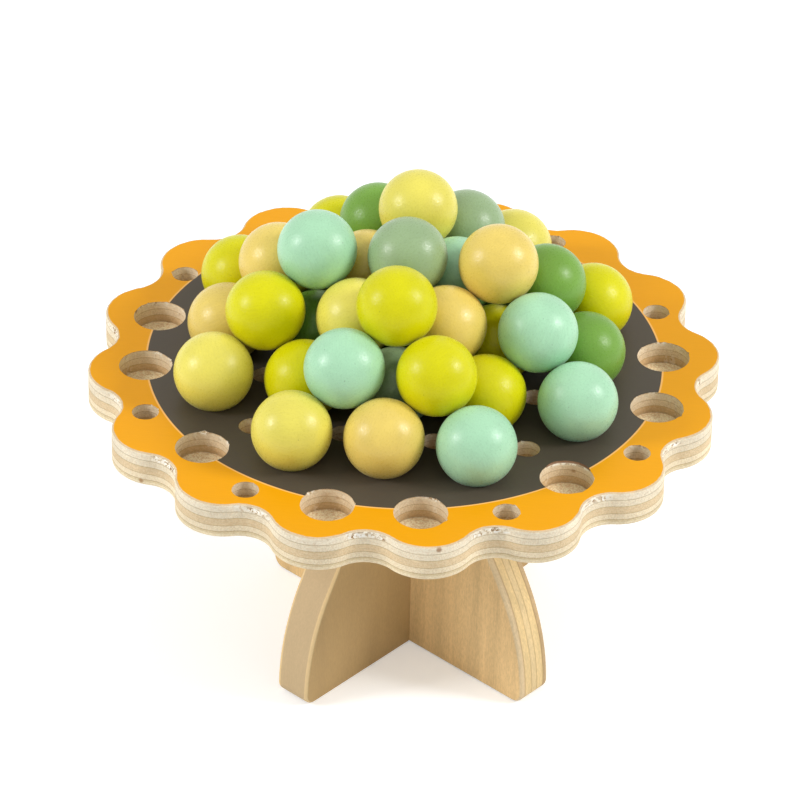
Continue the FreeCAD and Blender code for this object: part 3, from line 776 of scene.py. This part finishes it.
def ball_material(name, paint, gloss):
    """Satin water-based paint over turned hardwood: fine fibres of the wood stand up under the thin coat,
    with a soft highlight and a few specks."""
    material, tree, shader = new_material(name)
    grain = add_node(tree, "ShaderNodeAttribute", attribute_name="grain")
    tone = add_node(tree, "ShaderNodeAttribute", attribute_name="tone")
    # The grain attribute is in millimetres: fibres 0.45 mm wide and 6 mm long
    stretched = add_node(tree, "ShaderNodeMapping", {
        "Vector": grain.outputs["Vector"], "Scale": (2.2, 2.2, 0.17)})
    fibre = add_node(tree, "ShaderNodeTexNoise", {
        "Vector": stretched.outputs[0], "Scale": 1.0, "Detail": 3.0, "Roughness": 0.55})
    cloud = add_node(tree, "ShaderNodeTexNoise", {
        "Vector": grain.outputs["Vector"], "Scale": 0.12, "Detail": 2.0})
    speck = add_node(tree, "ShaderNodeTexVoronoi", {"Vector": grain.outputs["Vector"], "Scale": 0.22})
    fibre_shade = add_node(tree, "ShaderNodeMapRange", {
        "Value": fibre.outputs["Fac"], "From Min": 0.3, "From Max": 0.7, "To Min": 0.95, "To Max": 1.03})
    cloud_shade = add_node(tree, "ShaderNodeMapRange", {
        "Value": cloud.outputs["Fac"], "From Min": 0.3, "From Max": 0.7, "To Min": 0.95, "To Max": 1.04})
    speck_shade = add_node(tree, "ShaderNodeMapRange", {
        "Value": speck.outputs["Distance"], "From Min": 0.03, "From Max": 0.06, "To Min": 0.72,
        "To Max": 1.0}, interpolation_type="SMOOTHSTEP")
    base = shaded(tree, paint, [fibre_shade.outputs[0], cloud_shade.outputs[0], speck_shade.outputs[0],
                                tone.outputs["Fac"]])
    # Raised fibre ends under the paint, about 0.7 mm apart, break the highlights up
    nap = add_node(tree, "ShaderNodeTexNoise", {
        "Vector": grain.outputs["Vector"], "Scale": 1.5, "Detail": 2.0})
    rough = add_node(tree, "ShaderNodeMapRange", {
        "Value": nap.outputs["Fac"], "From Min": 0.4, "From Max": 0.6, "To Min": 0.41, "To Max": 0.27})
    relief = add_node(tree, "ShaderNodeMath", {
        0: fibre.outputs["Fac"], 1: nap.outputs["Fac"]}, operation="ADD")
    bump = add_node(tree, "ShaderNodeBump", {
        "Height": relief.outputs[0], "Strength": 0.5, "Distance": 0.1 * MM})
    # The nap catches light where the ball turns away
    fill_sockets(tree, shader, {
        "Base Color": base, "Roughness": rough.outputs[0], "Normal": bump.outputs["Normal"],
        "Specular IOR Level": gloss, "Sheen Weight": SHEEN_SHARE * gloss, "Sheen Roughness": 0.35})
    return material


def turned_ball(name, settings, centre, rng):
    """A closed ball: rows of latitude and columns of longitude about a turning axis of its own. The radius is
    R less a slow unevenness, less dents of depth d exp(-(angle / width)^2)."""
    rows, columns = settings.rings, settings.segments
    latitude = np.linspace(0, math.pi, rows + 1)[1:-1]
    longitude = np.linspace(0, 2 * math.pi, columns, endpoint=False)
    polar, around = np.meshgrid(latitude, longitude, indexing="ij")
    directions = np.stack((np.sin(polar) * np.cos(around), np.sin(polar) * np.sin(around), np.cos(polar)),
                          axis=-1).reshape(-1, 3)
    directions = np.concatenate((directions, [(0, 0, 1), (0, 0, -1)]))
    # Slow waves round the turning axis and along it
    phase = rng.uniform(0, 2 * math.pi, 4)
    swell = (np.sin(3 * directions[:, 2] + phase[0]) + np.sin(4 * directions[:, 0] + phase[1])
             + np.sin(4 * directions[:, 1] + phase[2]) + np.sin(9 * directions[:, 2] + phase[3])) / 8 + 0.5
    radii = BALL_RADIUS - settings.unevenness * swell
    for _ in range(DENTS):
        knock = rng.standard_normal(3)
        knock /= np.linalg.norm(knock)
        apart = np.arccos(np.clip(directions @ knock, -1, 1))
        dent = settings.dent_depth * rng.uniform(*DENT_SIZES)
        radii -= dent * np.exp(-(apart / rng.uniform(*DENT_WIDTHS)) ** 2)
    turning, _ = np.linalg.qr(rng.standard_normal((3, 3)))
    turning *= np.sign(np.linalg.det(turning))
    points = (radii[:, None] * directions) @ turning.T + centre
    body = (rows - 1) * columns
    fans = np.concatenate((fan_faces(np.arange(columns), body, True),
                           fan_faces(np.arange(body - columns, body), body + 1, False)))
    ball = new_piece(name, points, ring_faces(0, rows - 1, columns), fans)
    grain = ball.data.attributes.new("grain", "FLOAT_VECTOR", "POINT")
    place = radii[:, None] * directions / MM + rng.uniform(-500, 500, 3)
    grain.data.foreach_set("vector", place.astype(np.float32).ravel())
    tone = ball.data.attributes.new("tone", "FLOAT", "POINT")
    tone.data.foreach_set("value", np.full(len(points), rng.uniform(0.97, 1.03), np.float32))
    return ball


class BALANCE_OT_balls(bpy.types.Operator):
    """Turn and paint every ball of the pile"""
    bl_idname = "balance_game.balls"
    bl_label = "Balls"

    def execute(self, context):
        settings = context.scene.balance_balls
        looks = {}
        for number, node in enumerate(BALL_NODES):
            slot = SLOT_OF_NODE[node]
            if slot not in looks:
                paint = tuple(getattr(settings, slot.removesuffix("_paint")))
                gloss = LEAST_GLOSS + GLOSS_PER_BLUE * min(paint[2], BLUE_LIMIT)
                looks[slot] = ball_material(f"{slot}_on_wood", paint, gloss)
            low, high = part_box(node)
            rng = np.random.default_rng(BALL_SEED + number)
            ball = turned_ball(f"turned_{node}", settings, np.array((low + high) / 2), rng)
            ball.data.materials.append(looks[slot])
            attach(ball, BODY)
            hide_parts(node)
        return {"FINISHED"}


def add_lamp(name, direction, distance, aim, size, watts):
    """A square soft lamp at a distance along a direction, turned to the aim point."""
    lamp = bpy.data.lights.new(name, "AREA")
    lamp.shape = "SQUARE"
    lamp.size = size
    lamp.energy = watts
    holder = bpy.data.objects.new(name, lamp)
    bpy.context.scene.collection.objects.link(holder)
    direction = Vector(direction).normalized()
    turned = direction.to_track_quat("Z", "Y").to_matrix().to_4x4()
    holder.matrix_world = Matrix.Translation(aim + distance * direction) @ turned


def seen_rays(tree):
    """1 for rays that see the surroundings, from the camera or through gloss and glass, and 0 for others."""
    path = add_node(tree, "ShaderNodeLightPath")
    seen = path.outputs["Is Camera Ray"]
    for kind in ("Is Glossy Ray", "Is Transmission Ray"):
        seen = add_node(tree, "ShaderNodeMath", {
            0: seen, 1: path.outputs[kind]}, operation="MAXIMUM").outputs[0]
    return seen


def floor_material(settings):
    """White studio sweep: matt white, lifted to the picture's white for the camera and for reflections, so
    that only the soft shadow at the feet shows."""
    material, tree, shader = new_material("white_sweep")
    place = add_node(tree, "ShaderNodeTexCoord").outputs["Object"]
    away = add_node(tree, "ShaderNodeVectorMath", {0: place}, operation="LENGTH")
    # More lift further out, where the lamps no longer reach
    needed = add_node(tree, "ShaderNodeMapRange", {
        "Value": away.outputs["Value"], "From Min": 0.2, "From Max": 1.6, "To Min": 0.3, "To Max": 0.75})
    lift = add_node(tree, "ShaderNodeMath", {0: seen_rays(tree), 1: needed.outputs[0]}, operation="MULTIPLY")
    fill_sockets(tree, shader, {
        "Base Color": tuple(settings.floor_colour), "Roughness": 0.9,
        "Emission Color": (1.0, 1.0, 1.0, 1.0), "Emission Strength": lift.outputs[0]})
    return material


def light_world(fill):
    """White surroundings: strength 1 where they are seen, and the fill elsewhere."""
    world = bpy.data.worlds.new("white_studio")
    world.use_nodes = True
    tree = world.node_tree
    tree.nodes.clear()
    strength = add_node(tree, "ShaderNodeMapRange", {"Value": seen_rays(tree), "To Min": fill, "To Max": 1.0})
    background = add_node(tree, "ShaderNodeBackground", {
        "Color": (1.0, 1.0, 1.0, 1.0), "Strength": strength.outputs[0]})
    add_node(tree, "ShaderNodeOutputWorld", {"Surface": background.outputs[0]})
    bpy.context.scene.world = world


class BALANCE_OT_stage(bpy.types.Operator):
    """Set up the floor, the lamps and the camera"""
    bl_idname = "balance_game.stage"
    bl_label = "Stage"

    def execute(self, context):
        settings = context.scene.balance_stage
        half = settings.floor_size / 2
        corners = np.array([(-half, -half, 0), (half, -half, 0), (half, half, 0), (-half, half, 0)])
        floor = new_piece("floor", corners, [(0, 1, 2, 3)], [])
        floor.data.materials.append(floor_material(settings))
        aim = Vector(settings.aim)
        for name, direction, size, watts in (
                ("left_softbox", (-0.816, -0.265, 0.514), settings.lamp_size, settings.left_power),
                ("right_softbox", (0.806, -0.02, 0.591), settings.lamp_size, settings.right_power),
                ("top_lamp", (0.0, -0.15, 1.0), settings.top_size, settings.top_power)):
            add_lamp(name, direction, settings.lamp_distance, aim, size, watts)
        light_world(settings.fill)

        azimuth, elevation = settings.view_azimuth, settings.view_elevation
        ahead = Vector((math.sin(azimuth) * math.cos(elevation), math.cos(azimuth) * math.cos(elevation),
                        -math.sin(elevation)))
        right = ahead.cross(Vector((0, 0, 1))).normalized()
        up = right.cross(ahead)
        level = Matrix((right, up, -ahead)).transposed()
        rolled = level @ Matrix.Rotation(settings.view_roll, 3, "Z")
        camera = bpy.data.objects.new("camera", bpy.data.cameras.new("camera"))
        camera.data.lens = settings.lens
        camera.data.sensor_width = SENSOR_WIDTH
        camera.data.clip_end = 50
        camera.matrix_world = Matrix.Translation(aim - settings.view_distance * ahead) @ rolled.to_4x4()
        context.scene.collection.objects.link(camera)
        context.scene.camera = camera
        context.scene.view_settings.view_transform = "Standard"
        return {"FINISHED"}


class BALANCE_PT_panel(bpy.types.Panel):
    """Sidebar panel that lists the steps"""
    bl_idname = "BALANCE_PT_panel"
    bl_label = "Balance game"
    bl_space_type = "VIEW_3D"
    bl_region_type = "UI"
    bl_category = "Balance game"

    def draw(self, context):
        for step in STEPS:
            self.layout.operator(step.bl_idname)


SETTINGS = {"balance_board": BoardSettings, "balance_stand": StandSettings, "balance_balls": BallSettings,
            "balance_stage": StageSettings}
STEPS = (BALANCE_OT_board, BALANCE_OT_stand, BALANCE_OT_balls, BALANCE_OT_stage)


def register():
    for item in (*SETTINGS.values(), *STEPS, BALANCE_PT_panel):
        bpy.utils.register_class(item)
    for name, group in SETTINGS.items():
        setattr(bpy.types.Scene, name, PointerProperty(type=group))


def unregister():
    for name in SETTINGS:
        delattr(bpy.types.Scene, name)
    for item in (BALANCE_PT_panel, *reversed(STEPS), *reversed(SETTINGS.values())):
        bpy.utils.unregister_class(item)


def main():
    register()
    bpy.ops.balance_game.board()
    bpy.ops.balance_game.stand()
    bpy.ops.balance_game.balls()
    bpy.ops.balance_game.stage()


if __name__ == "__main__":
    main()
